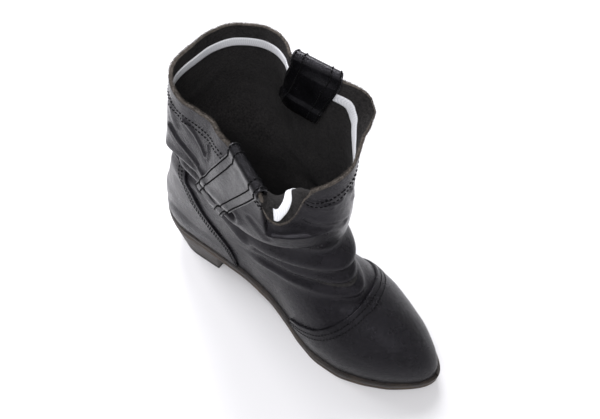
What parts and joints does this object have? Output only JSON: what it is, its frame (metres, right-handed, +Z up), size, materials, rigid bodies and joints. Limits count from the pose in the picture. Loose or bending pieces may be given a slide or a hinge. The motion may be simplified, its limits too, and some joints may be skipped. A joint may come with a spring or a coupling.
{
  "type": "western boot",
  "caption": "Short pull-on western boot for the right foot in slouched black leather, with a raw collar, two pull straps, a welted sole and a stacked heel.",
  "frame": {"origin": "middle of the heel's underside, on the floor", "axes": "+X towards the toe, +Y towards the inner side of the foot, +Z up"},
  "size_m": [0.29, 0.1094, 0.2479],
  "materials": {
    "shaft_leather": "black smooth leather, half gloss, creased",
    "vamp_leather": "black smooth leather, glossy, finely crackled",
    "strap_leather": "black smooth leather, glossy, worn at the fold",
    "tape": "white ribbed woven tape",
    "insole_leather": "brown bare leather, dull",
    "edge_leather": "black dyed leather edges, waxed",
    "sole_leather": "dark brown sole leather, scuffed",
    "heel_rubber": "black matt rubber"
  },
  "bodies": {
    "root": {"upper": "shaft_leather", "vamp": "vamp_leather", "counter": "shaft_leather", "collar_tape": "tape", "pull_strap_inner_side": "strap_leather", "pull_strap_outer_side": "strap_leather", "insole": "insole_leather", "welt": "edge_leather", "outsole": "sole_leather", "heel_cap": "heel_rubber", "heel_seat": "edge_leather", "heel_lift_1": "edge_leather", "heel_lift_2": "edge_leather", "heel_lift_3": "edge_leather", "heel_lift_4": "edge_leather"}
  },
  "joints": []
}
